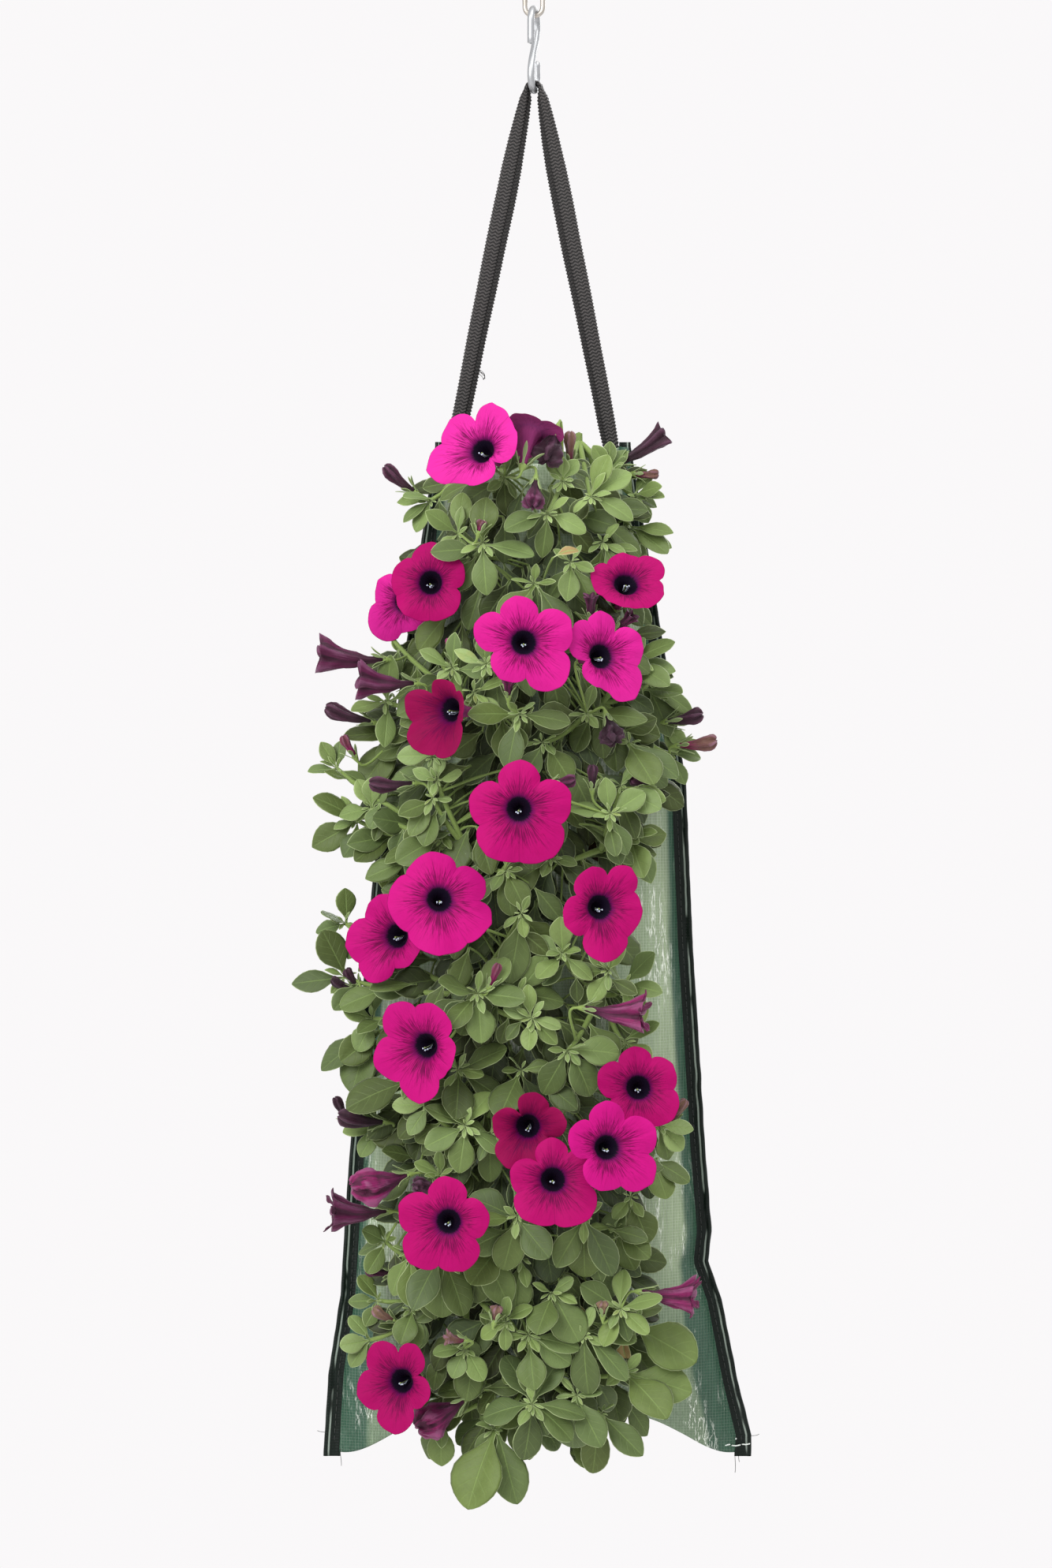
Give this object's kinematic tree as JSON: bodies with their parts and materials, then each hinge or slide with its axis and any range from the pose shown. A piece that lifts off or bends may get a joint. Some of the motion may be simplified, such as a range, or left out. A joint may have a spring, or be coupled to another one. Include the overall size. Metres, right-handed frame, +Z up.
{
  "type": "petunia hanging pouch",
  "caption": "Hanging flower pouch: a sewn woven bag of compost, planted through its front and open top with trumpet-flowered petunias, on a webbing strap, S-hook and chain link.",
  "frame": {"origin": "the hanging point: inside top of the chain link, where the chain or hook above bears", "axes": "+Z up, -Y towards the planted front, +X to the right seen from the front"},
  "size_m": [0.2654, 0.2005, 0.8843],
  "materials": {
    "link_steel": "satin",
    "hook_zinc": "satin",
    "webbing": "matte",
    "woven_poly": "satin",
    "compost": "matte",
    "foliage": "satin",
    "petals": "satin",
    "faded_petals": "matte"
  },
  "bodies": {
    "root": {"chain_link": "link_steel", "s_hook": "hook_zinc", "hanging_strap": "webbing", "bag_front_panel": "woven_poly", "bag_back_panel": "woven_poly", "compost": "compost", "flower_01": "petals", "flower_02": "petals", "flower_03": "petals", "flower_04": "petals", "flower_05": "petals", "flower_06": "petals", "flower_07": "petals", "flower_08": "petals", "flower_09": "petals", "flower_10": "petals", "flower_11": "petals", "flower_12": "petals", "flower_13": "petals", "flower_14": "petals", "flower_15": "petals", "flower_16": "petals", "flower_17": "petals", "flower_18": "petals", "flower_19": "petals", "furled_flower_01": "faded_petals", "furled_flower_02": "faded_petals", "furled_flower_03": "faded_petals", "furled_flower_04": "faded_petals", "furled_flower_05": "faded_petals", "furled_flower_06": "faded_petals", "furled_flower_07": "faded_petals", "furled_flower_08": "faded_petals", "furled_flower_09": "faded_petals", "furled_flower_10": "faded_petals", "furled_flower_11": "faded_petals", "furled_flower_12": "faded_petals", "furled_flower_13": "faded_petals", "furled_flower_14": "faded_petals", "plant_top_left": "foliage", "plant_top_right": "foliage", "plant_row1_left": "foliage", "plant_row1_right": "foliage", "plant_row2_left": "foliage", "plant_row2_right": "foliage", "plant_row3_left": "foliage", "plant_row3_right": "foliage", "plant_row4_left": "foliage", "plant_row4_right": "foliage", "plant_row5_left": "foliage", "plant_row5_right": "foliage", "plant_row6_left": "foliage", "plant_row6_right": "foliage", "plant_bottom": "foliage"}
  },
  "joints": []
}
